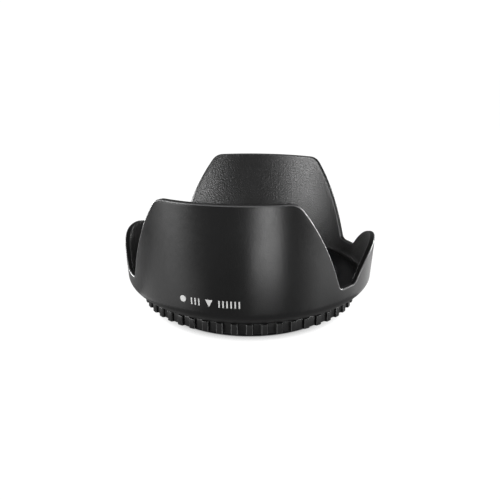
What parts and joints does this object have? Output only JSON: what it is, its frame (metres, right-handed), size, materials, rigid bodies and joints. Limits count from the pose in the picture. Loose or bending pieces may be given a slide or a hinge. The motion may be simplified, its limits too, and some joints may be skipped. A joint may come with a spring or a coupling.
{
  "type": "lens hood",
  "caption": "Petal-shaped camera lens hood with a screw-in thread and a knurled collar that locks its angle.",
  "frame": {"origin": "centre of the lens thread's end face, which is the bottom of the part", "axes": "+Z along the optical axis from the lens to the subject; the wide petals face -Y and +Y"},
  "size_m": [0.0788, 0.081, 0.0414],
  "materials": {
    "mount_anodised": "black anodised, fine turned",
    "collar_plastic": "black moulded, satin, slightly worn on the teeth",
    "washer_plastic": "dark grey low-friction plastic",
    "shade_plastic": "black moulded, satin outside and inside",
    "index_paint": "white pad-printed index marks"
  },
  "bodies": {
    "mount": {"mount_ring": "mount_anodised"},
    "shade": {"petal_shade": "shade_plastic"},
    "washer": {"slip_washer": "washer_plastic"},
    "collar": {"lock_ring": "collar_plastic"}
  },
  "joints": [
    {"name": "shade_turn", "type": "hinge", "parent": "mount", "child": "shade", "pos_m": [0, 0, 0.008], "axis": [0, 0, 1], "continuous": true},
    {"name": "collar_travel", "type": "slide", "parent": "mount", "child": "washer", "axis": [0, 0, -1], "range_m": [0, 0.0005]},
    {"name": "collar_turn", "type": "hinge", "parent": "washer", "child": "collar", "pos_m": [0, 0, 0.0045], "axis": [0, 0, -1], "range_deg": [0, 180]}
  ],
  "couplings": [
    {"joint": "collar_travel", "follows": "collar_turn", "m_per_rad": 0.00015915}
  ]
}
